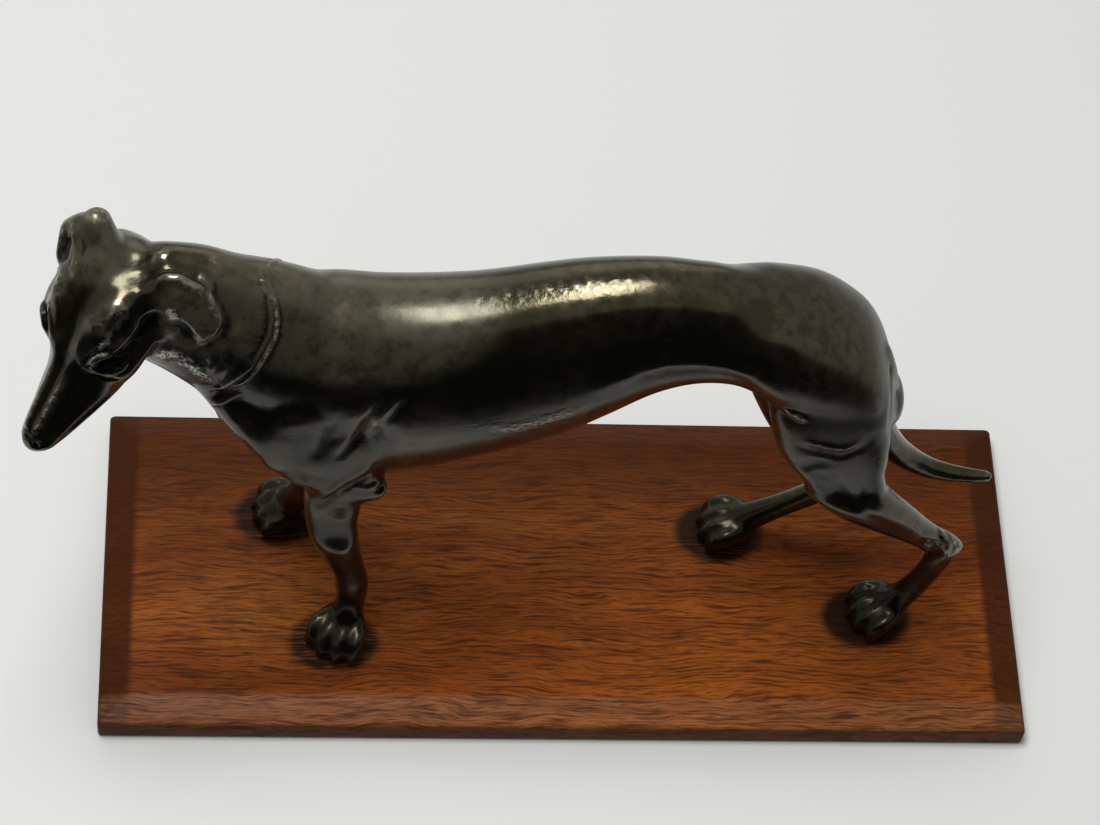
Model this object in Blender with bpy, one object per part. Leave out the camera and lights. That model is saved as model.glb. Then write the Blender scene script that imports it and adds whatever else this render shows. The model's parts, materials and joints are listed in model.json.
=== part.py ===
"""Greyhound statue: one bronze casting on a chamfered mahogany plinth.

The dog stands along X with its head towards -X, and its left side faces -Y.
Its forms are lofted tubes, welded by a voxel remesh, carved by soft strokes
and reduced to facets. Figure measures are master units, of which the withers
stand WITHERS_MASTER high, so that the whole animal follows WITHERS_HEIGHT.
"""
import math

import bmesh
import bpy
import numpy as np
from mathutils import Matrix, Vector
from mathutils.bvhtree import BVHTree

# Driving dimensions, in metres.
PLINTH_LENGTH = 0.300
PLINTH_WIDTH = 0.117
PLINTH_THICKNESS = 0.011
CHAMFER_DROP = 0.003
CHAMFER_RUN = 0.010
CORNER_BEVEL = 0.0012
WITHERS_HEIGHT = 0.158
SEAT_CLEARANCE = 0.0003

# Figure master units: one unit is a millimetre when the withers are 158 high.
WITHERS_MASTER = 158.0
UNIT = WITHERS_HEIGHT / WITHERS_MASTER
MIDLINE = -4.0
NEAR, FAR = -1, 1
VOXEL = 1.1
FACETS = 8600

FRONT = Vector((-1, 0, 0))
UP = Vector((0, 0, 1))


def clear_scene():
    """Remove every object of the open scene."""
    for item in list(bpy.data.objects):
        bpy.data.objects.remove(item, do_unlink=True)


def finish(name, colour, roughness, metallic):
    """A Principled material with one colour."""
    material = bpy.data.materials.new(name)
    material.use_nodes = True
    shader = material.node_tree.nodes["Principled BSDF"]
    shader.inputs["Base Color"].default_value = (*colour, 1)
    shader.inputs["Roughness"].default_value = roughness
    shader.inputs["Metallic"].default_value = metallic
    return material


def smooth_rows(rows, steps):
    """Pass a smooth curve through the rows of a station table."""
    rows = np.array(rows, float)
    gaps = np.linalg.norm(np.diff(rows[:, :3], axis=0), axis=1)
    slopes = np.diff(rows, axis=0) / gaps[:, None]
    tangents = np.vstack([slopes[:1], slopes[-1:]])
    if len(rows) > 2:
        before, after = gaps[:-1, None], gaps[1:, None]
        middle = (slopes[:-1] * after + slopes[1:] * before) / (before + after)
        tangents = np.vstack([slopes[:1], middle, slopes[-1:]])
    result = []
    for i, gap in enumerate(gaps):
        for k in range(steps):
            u = k / steps
            h00 = (1 + 2 * u) * (1 - u) ** 2
            h10 = u * (1 - u) ** 2
            h01 = u * u * (3 - 2 * u)
            h11 = u * u * (u - 1)
            result.append(h00 * rows[i] + h10 * gap * tangents[i]
                          + h01 * rows[i + 1] + h11 * gap * tangents[i + 1])
    result.append(rows[-1])
    return np.array(result)


def skin(bm, loops):
    """Close rings of points into one form."""
    loops = [[bm.verts.new(p) for p in loop] for loop in loops]
    for low, high in zip(loops, loops[1:]):
        for k in range(len(low)):
            n = (k + 1) % len(low)
            bm.faces.new((low[k], low[n], high[n], high[k]))
    bm.faces.new(list(reversed(loops[0])))
    bm.faces.new(loops[-1])


def tube(bm, stations, front, ring=20, steps=4, caps=(0.6, 0.6), axis=None, square=2.0):
    """Loft a closed tube through stations (x, y, z, ahead, behind, side).

    Each ring stands across the path, or across a given axis. Its half sizes
    are measured towards front, away from front, and sideways.
    """
    rows = smooth_rows(stations, steps)
    heading = np.gradient(rows[:, :3], axis=0)
    rings = []
    count = len(rows)
    cap_turns = (0.95, 0.75, 0.45)
    for i in range(count):
        way = Vector(axis) if axis else Vector(heading[i]).normalized()
        side = way.cross(Vector(front)).normalized()
        ahead = side.cross(way).normalized()
        rings.append((Vector(rows[i, :3]), way, ahead, side, rows[i, 3:6], 1.0))
    first, last = rings[0], rings[-1]
    start_length = caps[0] * min(first[4])
    end_length = caps[1] * min(last[4])
    starts = [(first[0] - first[1] * start_length * c, *first[1:5], math.sqrt(1 - c * c))
              for c in cap_turns]
    ends = [(last[0] + last[1] * end_length * c, *last[1:5], math.sqrt(1 - c * c))
            for c in reversed(cap_turns)]
    rings = starts + rings + ends
    loops = []
    for centre, way, ahead, side, sizes, scale in rings:
        loop = []
        for k in range(ring):
            angle = math.tau * k / ring
            c, s = math.cos(angle), math.sin(angle)
            c = math.copysign(abs(c) ** (2 / square), c)
            s = math.copysign(abs(s) ** (2 / square), s)
            reach = sizes[0] if c > 0 else sizes[1]
            loop.append(centre + ahead * (c * reach * scale)
                        + side * (s * sizes[2] * scale))
        loops.append(loop)
    skin(bm, loops)


def blob(bm, centre, sizes, turn=None):
    """An ellipsoid of half sizes along its own three axes."""
    frame = turn.to_4x4() if turn else Matrix()
    scale = Matrix.Diagonal((*sizes, 1))
    bmesh.ops.create_icosphere(bm, subdivisions=3, radius=1,
                               matrix=Matrix.Translation(Vector(centre)) @ frame @ scale)


# Head frame: the skull's centre at the ears, and the way the muzzle points.
SKULL = Vector((-140.4, -4.0, 171.8))
HEAD_TURN = math.radians(50)
HEAD_DROP = math.radians(48)
HEAD_ROLL = math.radians(-4)
MUZZLE = Vector((-math.cos(HEAD_TURN) * math.cos(HEAD_DROP),
                 -math.sin(HEAD_TURN) * math.cos(HEAD_DROP), -math.sin(HEAD_DROP)))
LEVEL = UP.cross(MUZZLE).normalized()
HEAD_TOP = Matrix.Rotation(-HEAD_ROLL, 3, MUZZLE) @ MUZZLE.cross(LEVEL)
HEAD_LEFT = HEAD_TOP.cross(MUZZLE)


def head(t, left=0.0, top=0.0):
    """A point of the head: along the muzzle, to its left and to its crown."""
    return SKULL + MUZZLE * t + HEAD_LEFT * left + HEAD_TOP * top


def torso(bm):
    """Chest, ribs, loin and croup, as upright sections along X."""
    table = [
        # x, crown, widest level, underside, half width
        (-108, 119, 108, 94, 8),
        (-102, 148, 113, 82, 14),
        (-92, 161, 122, 76, 18.2),
        (-80, 163, 125, 77, 19.8),
        (-66, 160.5, 124, 78, 21),
        (-50, 160.5, 125, 82, 21.3),
        (-34, 163.5, 128, 88.5, 20.4),
        (-20, 168, 133, 95, 19.6),
        (-8, 171.5, 138, 102, 18.6),
        (5, 174, 143, 113, 17),
        (17, 174.5, 147, 124.5, 15.8),
        (29, 172.5, 148, 131, 15.3),
        (41, 169.5, 150, 131, 17),
        (53, 165, 147, 122, 20),
        (65, 159, 142.5, 111, 22),
        (74, 152.5, 136, 105, 21.7),
        (82, 144.5, 129, 101, 19.6),
        (88, 132, 120, 102, 15),
        (91.5, 119, 113, 105, 9),
    ]
    rows = [(x, MIDLINE, wide, crown - wide, wide - under, half)
            for x, crown, wide, under, half in table]
    tube(bm, rows, UP, ring=32, axis=(1, 0, 0), square=2.3)


def neck(bm):
    """Deep neck from the shoulders to the skull."""
    tube(bm, [
        (-80, MIDLINE, 130, 32, 34, 18.5),
        (-93, MIDLINE, 136, 30.5, 33, 18),
        (-106, MIDLINE, 143, 30, 28, 16.4),
        (-118, MIDLINE - 0.3, 150, 27.5, 23, 14.8),
        (-128, MIDLINE - 0.6, 157, 26, 21.5, 13.4),
        (-135, MIDLINE - 1, 162, 23, 19, 12),
    ], UP, ring=28)


def skull(bm):
    """Skull, orbits, cheeks and muzzle, as sections across the muzzle's way.

    A section runs from the crown over the brow's edge, the temple, the
    cheekbone and the jaw's edge to the chin, and the same on the other side.
    """
    table = [
        # along, crown, brow (side, up), temple, cheekbone, jaw edge, chin
        (-8, 1.0, 6.0, 0.5, 9.0, -2.5, 10.0, -6.0, 7.0, -11.0, -13.0),
        (-2, 5.5, 9.6, 4.5, 12.6, 0.8, 13.5, -4.4, 10.0, -13.0, -16.0),
        (4, 8.5, 10.9, 7.6, 13.5, 2.5, 15.2, -4.0, 11.5, -14.5, -17.5),
        (11, 9.3, 10.4, 8.4, 13.0, 3.0, 16.0, -4.5, 12.0, -15.0, -18.0),
        (18, 9.2, 9.8, 8.2, 13.2, 3.0, 17.0, -4.0, 11.8, -14.0, -17.5),
        (24, 8.0, 7.6, 7.8, 12.2, 3.0, 17.0, -3.4, 11.4, -13.4, -17.0),
        (28.5, 6.0, 5.5, 6.2, 9.6, 2.2, 15.0, -3.8, 11.4, -13.4, -17.0),
        (32, 4.6, 4.0, 4.4, 7.6, 0.8, 12.2, -4.2, 11.2, -13.4, -17.0),
        (36, 4.2, 3.3, 3.8, 6.4, 0.8, 10.0, -4.4, 10.6, -12.8, -16.2),
        (42, 4.0, 3.1, 3.4, 5.9, 0.8, 8.8, -4.2, 9.2, -11.2, -14.2),
        (49, 3.8, 2.8, 3.2, 5.2, 0.8, 7.5, -3.6, 7.4, -8.8, -11.2),
        (55.5, 3.6, 2.5, 3.1, 4.6, 1.0, 6.3, -2.6, 5.6, -6.4, -8.0),
        (59.5, 2.9, 2.1, 2.4, 3.8, 0.8, 5.0, -2.0, 3.8, -4.8, -5.8),
        (61.8, 1.2, 1.0, 1.0, 1.9, 0.2, 2.6, -1.6, 1.9, -3.1, -3.7),
    ]
    rows = smooth_rows([(row[0], 0, 0, *row[1:]) for row in table], 2)
    rings = []
    for row in rows:
        half = [(0, row[3])] + [tuple(row[k:k + 2]) for k in (4, 6, 8, 10)] + [(0, row[12])]
        loop = half + [(-left, up) for left, up in half[-2:0:-1]]
        closed = smooth_rows([(*p, 0) for p in loop[-2:] + loop + loop[:3]], 3)[6:36]
        rings.append([head(row[0], left, up) for left, up, _ in closed])
    skin(bm, rings)


def ears(bm):
    """Near ear laid back on the neck, far ear half raised and folded over."""
    blob(bm, Vector((-122.2, -14.6, 167.5)), (10, 3.8, 15.5),
         Matrix.Rotation(math.radians(-24), 3, "Y") @ Matrix.Rotation(math.radians(-11), 3, "X"))
    tube(bm, [
        (*head(1, 10, 1), 6, 6, 4),
        (-130.5, -13, 171, 7, 7, 4),
        (-127, -14, 168, 7, 7, 3.5),
    ], UP, caps=(0.5, 0.8))
    tube(bm, [
        (-146, -1.5, 167, 9, 7, 10),
        (-147, 1, 175, 7, 6, 7.8),
        (-147.2, 3, 182, 5, 4.5, 5.4),
        (-146.2, 4.2, 188, 2.4, 2.4, 2.4),
    ], (0, -1, 0), caps=(0.5, 0.7))
    tube(bm, [
        (-149.3, 2.8, 181, 6.2, 6, 5.8),
        (-153.4, 4, 176, 6, 6, 5.6),
        (-156, 4.4, 169.5, 4.6, 4.6, 4.6),
    ], (0, -1, 0), caps=(0.5, 0.6))


def paw(bm, centre, heading, height=12.0):
    """Four arched toes with claws, set close round a pad."""
    ahead = Vector((*heading, 0)).normalized()
    side = Vector((-ahead.y, ahead.x, 0))
    middle = Vector((*centre, 0))
    blob(bm, middle - ahead * 1.5 + UP * (height * 0.40), (8.2, 8.2, height * 0.52))
    for across in (-1.5, -0.5, 0.5, 1.5):
        reach = 8.6 if abs(across) < 1 else 6.4
        root = middle - ahead * 4.5 + side * (across * 3) + UP * height * 0.76
        line = middle + side * (across * 4.9)
        tube(bm, [
            (*root, 3, 3, 2.5),
            (*(line + ahead * (reach * 0.32) + UP * height * 0.74), 3.2, 5.0, 2.5),
            (*(line + ahead * (reach * 0.84) + UP * height * 0.43), 3.0, 5.0, 2.4),
            (*(line + ahead * (reach * 1.02) + UP * height * 0.20), 2.3, 2.8, 2.0),
        ], UP, ring=12, steps=3)
        claw = line + ahead * (reach * 1.14)
        tube(bm, [
            (*(claw + UP * 3.4), 1.3, 1.3, 1.1),
            (*(claw + ahead * 0.9 + UP * 1.6), 0.8, 0.8, 0.7),
        ], UP, ring=8, steps=2)


def fore_leg(bm, side, shoulder_x, forearm, paw_centre, paw_way):
    """Shoulder blade, upper arm and forearm over a paw."""
    def placed(rows):
        return [(shoulder_x + x, MIDLINE + side * y, *rest) for x, y, *rest in rows]
    tube(bm, placed([(24, 8, 150, 8, 9, 5), (14, 11.5, 132, 11, 12, 7),
                 (4, 14, 112, 11, 13, 8.5), (4.5, 14.5, 98, 9, 11, 8.5)]), FRONT)
    tube(bm, placed([(-22, 5.5, 140, 9, 9, 6), (-12, 8.5, 127, 10, 10, 7.5),
                 (-3, 12, 113, 10, 10, 8.5), (4, 14, 101, 9, 9, 8.5)]), FRONT)
    tube(bm, placed([(26, 13, 118, 10, 10, 7), (22, 15, 103, 11, 11, 8),
                 (21, 15.5, 91, 10, 10, 8)]), FRONT)
    tube(bm, placed([(5, 14, 99, 10.5, 9, 8.2), (14, 16, 92, 12, 10, 8.5),
                 (24, 16.5, 85, 10, 8, 7.5), (31, 16, 80, 6, 6, 5.5)]), UP)
    tube(bm, forearm, FRONT)
    paw(bm, paw_centre, paw_way)


def hind_leg(bm, thigh, shin, shank, heel, paw_centre, paw_way):
    """Thigh, second thigh, hock and rear pastern over a paw."""
    tube(bm, thigh, FRONT, ring=24)
    tube(bm, shin, FRONT)
    tube(bm, heel, FRONT, ring=14)
    tube(bm, shank, FRONT)
    paw(bm, paw_centre, paw_way)


def legs(bm):
    """The four legs."""
    fore_leg(
        bm, NEAR, -96,
        [(-73.5, -19.5, 86, 12.5, 8, 7), (-75, -19.7, 72, 11.5, 7, 6.4),
         (-75, -20, 57, 10, 6.2, 6.2), (-73, -20, 43, 7.8, 5.6, 5.4),
         (-71, -20.5, 32, 5.4, 5.4, 5), (-70, -21, 25, 5.6, 5.6, 5.4),
         (-70, -22, 17, 4.8, 5, 5), (-71.5, -25, 9, 5.2, 5.2, 6.2)],
        (-73.2, -28.2), (-0.45, -0.89))
    fore_leg(
        bm, FAR, -94,
        [(-74, 12, 86, 12, 8, 8), (-77, 12.5, 72, 10, 7, 7),
         (-79.5, 13, 57, 7.5, 6, 5.8), (-82, 13.5, 43, 5.4, 5.2, 5),
         (-84, 14, 32, 4.8, 5, 4.6), (-85, 14.5, 25, 5, 5.4, 5),
         (-87.5, 15.5, 17, 4.3, 4.6, 4.6), (-91, 17, 9, 5, 5, 6)],
        (-91.8, 18.0), (-0.98, -0.1))
    hind_leg(
        bm,
        [(66, -12, 138, 17, 17, 9), (69, -16.5, 127, 18, 19, 10),
         (71.5, -18.5, 115, 17.5, 18.5, 9), (75.5, -20.5, 104, 15, 15.5, 8.2),
         (79, -21.3, 94, 12, 12.5, 7.5), (84, -21.3, 85, 9.3, 9.5, 6.5)],
        [(78, -21, 94, 14, 11, 7), (88, -20.8, 80, 12.5, 8.2, 6.4),
         (100, -19, 66, 10, 6.3, 5.2), (110, -17.5, 54.5, 6.6, 4.7, 4.4),
         (117, -16.5, 46, 5.2, 4.8, 4.2)],
        [(118, -16.5, 45, 5, 5, 4.4), (117.5, -16.5, 36, 4.6, 4.6, 4.2),
         (114.5, -16.8, 25, 4.3, 4.3, 4), (110.5, -17, 15, 4.5, 4.2, 4.8),
         (106, -17.3, 9, 5, 5, 6)],
        [(112, -17.5, 55, 2.2, 2.2, 2.2), (118, -16.4, 49, 3, 3, 3),
         (122.5, -16, 43.5, 3, 3, 3)],
        (103.3, -17.6), (-0.93, -0.37))
    hind_leg(
        bm,
        [(62, 4, 138, 17, 17, 9), (60, 8.5, 127, 17, 20, 10),
         (58, 10.5, 115, 16.5, 19, 9), (57, 12.5, 104, 13, 15.5, 8.2),
         (58, 13.3, 94, 10, 12.5, 7.5), (62, 13.3, 84, 8, 9.5, 6.5)],
        [(57, 13, 94, 10, 11, 7), (65, 13, 78, 10, 8.2, 6.4),
         (74, 13, 62, 8.5, 6.3, 5.2), (82, 12.8, 49.5, 6.2, 4.7, 4.4),
         (87.5, 12.5, 41, 5, 4.8, 4.2)],
        [(88.5, 12.5, 40, 5, 5, 4.4), (83, 12.7, 31, 4.6, 4.6, 4.2),
         (74, 13.2, 22, 4.3, 4.3, 4), (65, 13.6, 14, 4.5, 4.2, 4.8),
         (59, 13.7, 9, 5, 5, 6)],
        [(83, 12.6, 50, 2.2, 2.2, 2.2), (89, 12.4, 44, 3, 3, 3),
         (93.5, 12.4, 38.5, 3, 3, 3)],
        (55.5, 13.7), (-1.0, 0.0))


def tail(bm):
    """Tail, hanging behind the thighs and curving out to its tip."""
    tube(bm, [
        (82, MIDLINE, 135, 6, 6, 6.5),
        (86.2, MIDLINE, 122, 5.8, 5.8, 6),
        (87.3, MIDLINE, 107, 5.2, 5.2, 5.5),
        (92.3, MIDLINE + 0.7, 91, 4.9, 4.9, 5),
        (101, MIDLINE + 1.5, 77, 4.3, 4.3, 4.4),
        (113, MIDLINE + 2, 67.5, 3.4, 3.4, 3.5),
        (124, MIDLINE + 2, 64.5, 2.6, 2.6, 2.7),
        (131, MIDLINE + 2, 64, 2.1, 2.1, 2.1),
    ], FRONT, ring=14)


def apply_modifiers(item):
    """Make the piece's modifiers part of its mesh."""
    graph = bpy.context.evaluated_depsgraph_get()
    mesh = bpy.data.meshes.new_from_object(item.evaluated_get(graph))
    item.modifiers.clear()
    old = item.data
    item.data = mesh
    bpy.data.meshes.remove(old)


def read_points(mesh):
    """A mesh's points as an array."""
    places = np.empty(len(mesh.vertices) * 3)
    mesh.vertices.foreach_get("co", places)
    return places.reshape(-1, 3)


def write_points(mesh, places):
    """Move a mesh's points to new places."""
    mesh.vertices.foreach_set("co", places.ravel())
    mesh.update()


# Carving strokes. Each is a way of aiming, its points, a radius and a depth,
# which is outward where it is positive.
def beside(side):
    """Aim at a flank, by length and height."""
    return lambda x, z: (Vector((x, side * 90, z)), Vector((0, -side, 0)))


def ahead(y, z):
    """Aim backwards, from in front of the dog."""
    return Vector((-190, y, z)), Vector((1, 0, 0))


def on_crown(along, left):
    """Aim at the head from over its crown."""
    return head(along, left, 50), -HEAD_TOP


def on_cheek(side):
    """Aim at one cheek, by length along the head and height on it."""
    return lambda along, top: (head(along, side * 50, top), HEAD_LEFT * -side)


def flank_strokes():
    """Muscles and bones of the two sides."""
    strokes = []
    for side in (NEAR, FAR):
        strokes += [
            (beside(side), [(-57, 146), (-62, 139), (-67, 131), (-70, 121), (-75, 106)],
             5, -1.5),
            (beside(side), [(-66, 142), (-71, 133), (-75, 122), (-79, 108)], 4.5, 0.6),
            (beside(side), [(38, 160), (46, 157)], 11, -1.2),
            (beside(side), [(4, 145), (20, 151), (30, 153), (38, 152), (49, 139)], 7, 0.8),
            (beside(side), [(-64, 96), (-74, 90), (-82, 79)], 3.6, -1.1),
        ]
        for rib in range(8):
            x = -46 + rib * 6.4
            strokes.append((beside(side), [(x - 4, 152), (x, 132), (x + 5, 112 + rib)],
                            3.2, 0.15))
    strokes += [
        (beside(NEAR), [(-82, 104), (-81, 84)], 5, 0.5),
        (beside(NEAR), [(-64, 83)], 3.0, -0.8),
        (beside(NEAR), [(62, 105), (70, 102), (78, 106), (84, 113)], 4, -0.7),
        (beside(NEAR), [(60, 109), (69, 106.5), (77, 110)], 3, 0.5),
        (beside(NEAR), [(55, 128), (60, 124)], 3, 0.6),
        (beside(NEAR), [(73, 99), (80, 85), (90, 71), (104, 57)], 4.5, -0.9),
        (beside(NEAR), [(108, 57), (116, 49), (114, 41)], 3.6, -1.2),
        (beside(FAR), [(44, 121), (50, 115), (57, 115), (67, 119), (76, 130)], 5, -0.8),
        (beside(FAR), [(55, 98), (62, 80), (71, 66), (80, 53)], 4.5, -0.9),
        (beside(FAR), [(86, 44)], 4.5, -1.2),
    ]
    return strokes


def head_strokes():
    """Brows, sockets, cheeks, mouth and the hollows of the ears."""
    strokes = []
    for side in (NEAR, FAR):
        cheek = on_cheek(-side)
        brow = [(28, 6.0), (24, 7.2), (17, 9.6), (9, 10.8), (1, 11.7)]
        strokes += [
            (on_crown, [(along, left * -side) for along, left in brow], 2.8, 0.9),
            (cheek, [(5, 1), (10, 0), (15, 0)], 5.5, -1.5),
            (cheek, [(20, -5.5), (12, -7), (5, -6)], 3.5, 0.7),
            (on_crown, [(25, 12.3 * -side)], 4.6, -1.5),
            (cheek, [(58, -4.0), (50, -5.0), (42, -6.6), (35, -9)], 1.8, -0.8),
            (cheek, [(-3, -15), (4, -16.5), (12, -16)], 3.5, -0.9),
        ]
    strokes += [
        (on_crown, [(29, 0), (18, 0), (6, 0)], 4, -0.6),
        (on_crown, [(35, 1.9), (58, 1.9)], 2.2, 0.35),
        (on_crown, [(35, -1.9), (58, -1.9)], 2.2, 0.35),
        (ahead, [(4.5, 164), (5, 170), (5, 175)], 4.2, -3.0),
        (beside(NEAR), [(-124, 164), (-121, 158), (-119, 154)], 4.2, -2.6),
        (beside(NEAR), [(-128, 175), (-124, 182), (-117, 178), (-113, 166), (-113, 156)],
         2.2, 0.8),
    ]
    return strokes


def trace(points):
    """Fill a stroke's points in, a unit or so apart."""
    rows = [np.array(p, float) for p in points]
    path = [rows[0]]
    for low, high in zip(rows, rows[1:]):
        parts = max(1, math.ceil(np.linalg.norm(high - low) / 1.0))
        path += [low + (high - low) * k / parts for k in range(1, parts + 1)]
    return path


def ease(count):
    """Strength along a stroke, which fades in and out at its ends."""
    if count < 4:
        return [1.0] * count
    return [min(1.0, 0.25 + 3.0 * min(k, count - 1 - k) / count) for k in range(count)]


def carve(item, strokes):
    """Push the surface in or out along the strokes."""
    mesh = item.data
    places = read_points(mesh)
    normals = np.empty(len(mesh.vertices) * 3)
    mesh.vertex_normals.foreach_get("vector", normals)
    normals = normals.reshape(-1, 3)
    tree = BVHTree.FromPolygons([v.co for v in mesh.vertices],
                                [p.vertices for p in mesh.polygons])
    shift = np.zeros(len(places))
    for aim, points, reach, depth in strokes:
        hits = []
        path = trace(points)
        for p, strength in zip(path, ease(len(path))):
            spot, normal, _, _ = tree.ray_cast(*aim(*p))
            if spot:
                hits.append((np.array(spot), np.array(normal), strength))
        if not hits:
            continue
        spots = np.array([h[0] for h in hits])
        near = np.all((places > spots.min(0) - reach) & (places < spots.max(0) + reach), axis=1)
        index = np.flatnonzero(near)
        weight = np.zeros(len(index))
        for spot, normal, strength in hits:
            gap = ((places[index] - spot) ** 2).sum(1) / reach ** 2
            facing = normals[index] @ normal > 0.1
            weight = np.maximum(weight, np.where((gap < 1) & facing,
                                                 strength * (1 - gap) ** 2, 0))
        shift[index] += weight * depth
    write_points(mesh, places + normals * shift[:, None])


def press(places, side, span, heights, reach, soft=1.2):
    """Press one flank flat between two heights, at a given reach from the midline.

    The span along X and the heights are each four values: where the pressing
    starts, is full, is still full, and ends.
    """
    weight = np.ones(len(places))
    for k, (start, full, still, end) in ((0, span), (2, heights)):
        rise = np.clip((places[:, k] - start) / (full - start), 0, 1)
        fall = np.clip((end - places[:, k]) / (end - still), 0, 1)
        weight *= np.minimum(rise, fall)
    weight = weight ** 2 * (3 - 2 * weight)
    level = np.interp(places[:, 2], heights[::3], reach)
    over = side * (places[:, 1] - MIDLINE) - level
    places[:, 1] -= side * weight * soft * np.logaddexp(0, over / soft)


def press_flanks(item):
    """Press the shoulders, thighs and near forearm flat, as they are modelled."""
    places = read_points(item.data)
    for side in (NEAR, FAR):
        press(places, side, (-108, -98, -66, -56), (78, 86, 116, 134), (19.5, 20.5))
        press(places, side, (44, 54, 84, 94), (80, 90, 130, 146), (20.8, 21.6))
    press(places, NEAR, (-92, -86, -64, -60), (50, 60, 76, 84), (19.8, 20.6))
    write_points(item.data, places)


def flatten_soles(item):
    """Cut the paws off flat at the height where they stand."""
    for vertex in item.data.vertices:
        vertex.co.z = max(vertex.co.z, 0)


def greyhound():
    """The dog as one closed casting."""
    bm = bmesh.new()
    torso(bm)
    neck(bm)
    skull(bm)
    ears(bm)
    legs(bm)
    tail(bm)
    bmesh.ops.recalc_face_normals(bm, faces=bm.faces)
    mesh = bpy.data.meshes.new("greyhound")
    bm.to_mesh(mesh)
    bm.free()
    item = bpy.data.objects.new("greyhound", mesh)
    bpy.context.collection.objects.link(item)
    weld = item.modifiers.new("weld forms", "REMESH")
    weld.mode = "VOXEL"
    weld.voxel_size = VOXEL
    soften = item.modifiers.new("soften joins", "SMOOTH")
    soften.factor = 0.5
    soften.iterations = 6
    apply_modifiers(item)
    press_flanks(item)
    carve(item, flank_strokes() + head_strokes())
    settle = item.modifiers.new("settle", "SMOOTH")
    settle.factor = 0.5
    settle.iterations = 2
    apply_modifiers(item)
    flatten_soles(item)
    facets = item.modifiers.new("facets", "DECIMATE")
    facets.ratio = FACETS / (2 * len(item.data.polygons))
    apply_modifiers(item)
    place = (Matrix.Translation((0, 0, PLINTH_THICKNESS + SEAT_CLEARANCE))
             @ Matrix.Scale(UNIT, 4))
    item.data.transform(place)
    item.data.materials.clear()
    item.data.materials.append(finish("bronze", (0.035, 0.03, 0.022), 0.35, 0.9))
    return item


def plinth():
    """Board with chamfered upper edges."""
    half_x, half_y = PLINTH_LENGTH / 2, PLINTH_WIDTH / 2
    bm = bmesh.new()
    levels = (
        (0, 0),
        (PLINTH_THICKNESS - CHAMFER_DROP, 0),
        (PLINTH_THICKNESS, CHAMFER_RUN),
    )
    loops = []
    for level, inset in levels:
        x, y = half_x - inset, half_y - inset
        loops.append([bm.verts.new((sx * x, sy * y, level))
                      for sx, sy in ((-1, -1), (1, -1), (1, 1), (-1, 1))])
    for low, high in zip(loops, loops[1:]):
        for k in range(4):
            n = (k + 1) % 4
            bm.faces.new((low[k], low[n], high[n], high[k]))
    bm.faces.new(list(reversed(loops[0])))
    bm.faces.new(loops[-1])
    bmesh.ops.recalc_face_normals(bm, faces=bm.faces)
    mesh = bpy.data.meshes.new("plinth")
    bm.to_mesh(mesh)
    bm.free()
    item = bpy.data.objects.new("plinth", mesh)
    bpy.context.collection.objects.link(item)
    rounding = item.modifiers.new("worn arrises", "BEVEL")
    rounding.width = CORNER_BEVEL
    rounding.segments = 2
    item.data.materials.append(finish("mahogany", (0.22, 0.07, 0.035), 0.45, 0.0))
    return item


clear_scene()
plinth()
greyhound()
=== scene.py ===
"""Greyhound statue: a bronze casting standing on a chamfered mahogany board.

Lengths of the figure are in master units, in which the withers stand
WITHERS_MASTER above the board; the operators bring them to metres.
"""

import json
import math

import bpy
import numpy as np
from mathutils import Matrix, Vector
from mathutils.bvhtree import BVHTree

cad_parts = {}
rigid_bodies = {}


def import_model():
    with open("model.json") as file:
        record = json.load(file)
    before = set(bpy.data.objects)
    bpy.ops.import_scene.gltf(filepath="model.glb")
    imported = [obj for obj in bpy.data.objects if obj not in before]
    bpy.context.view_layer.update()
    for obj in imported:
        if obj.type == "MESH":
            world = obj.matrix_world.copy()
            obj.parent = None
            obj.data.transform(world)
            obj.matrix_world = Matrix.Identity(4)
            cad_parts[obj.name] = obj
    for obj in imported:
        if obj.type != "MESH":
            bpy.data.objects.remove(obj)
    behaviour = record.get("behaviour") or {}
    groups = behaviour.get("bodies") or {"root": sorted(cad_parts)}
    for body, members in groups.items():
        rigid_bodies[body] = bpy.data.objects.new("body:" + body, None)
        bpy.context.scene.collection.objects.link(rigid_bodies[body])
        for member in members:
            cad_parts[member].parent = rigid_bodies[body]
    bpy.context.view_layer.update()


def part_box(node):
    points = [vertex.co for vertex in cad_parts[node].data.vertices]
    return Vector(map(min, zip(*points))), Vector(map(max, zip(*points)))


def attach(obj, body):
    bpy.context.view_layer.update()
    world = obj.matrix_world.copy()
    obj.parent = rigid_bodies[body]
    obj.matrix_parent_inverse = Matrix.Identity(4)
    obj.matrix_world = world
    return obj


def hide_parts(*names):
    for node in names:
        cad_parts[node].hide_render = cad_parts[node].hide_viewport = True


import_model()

bl_info = {
    "name": "Greyhound statue",
    "version": (1, 0, 0),
    "blender": (4, 5, 0),
    "location": "3D View > Sidebar > Statue",
    "description": "Casts a bronze greyhound and planes its mahogany board",
    "category": "Object",
}

BOARD_LOW, BOARD_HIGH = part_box("plinth")

# Figure master units: one unit is a millimetre when the withers are 158 high.
WITHERS_MASTER = 158.0
MIDLINE = -4.0
PAW_HEIGHT = 12.0
NEAR, FAR = -1, 1

FRONT = Vector((-1, 0, 0))
UP = Vector((0, 0, 1))

# The photograph's viewpoint, solved from the board's corners.
VIEW_ELEVATION = math.radians(57)
VIEW_AZIMUTH = math.radians(-9)
VIEW_ROLL = math.radians(8.498)
VIEW_AIM = Vector((-0.003737, 0.048199, 0.030))
VIEW_DISTANCE = 1.148
VIEW_LENS = 112.9

# Smoothing passes at the standard fineness; a finer grain needs more of them.
STANDARD_FINENESS = 0.55
BLEND_PASSES = 24
SETTLE_PASSES = 10
CARVED_PASSES = 3

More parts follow.
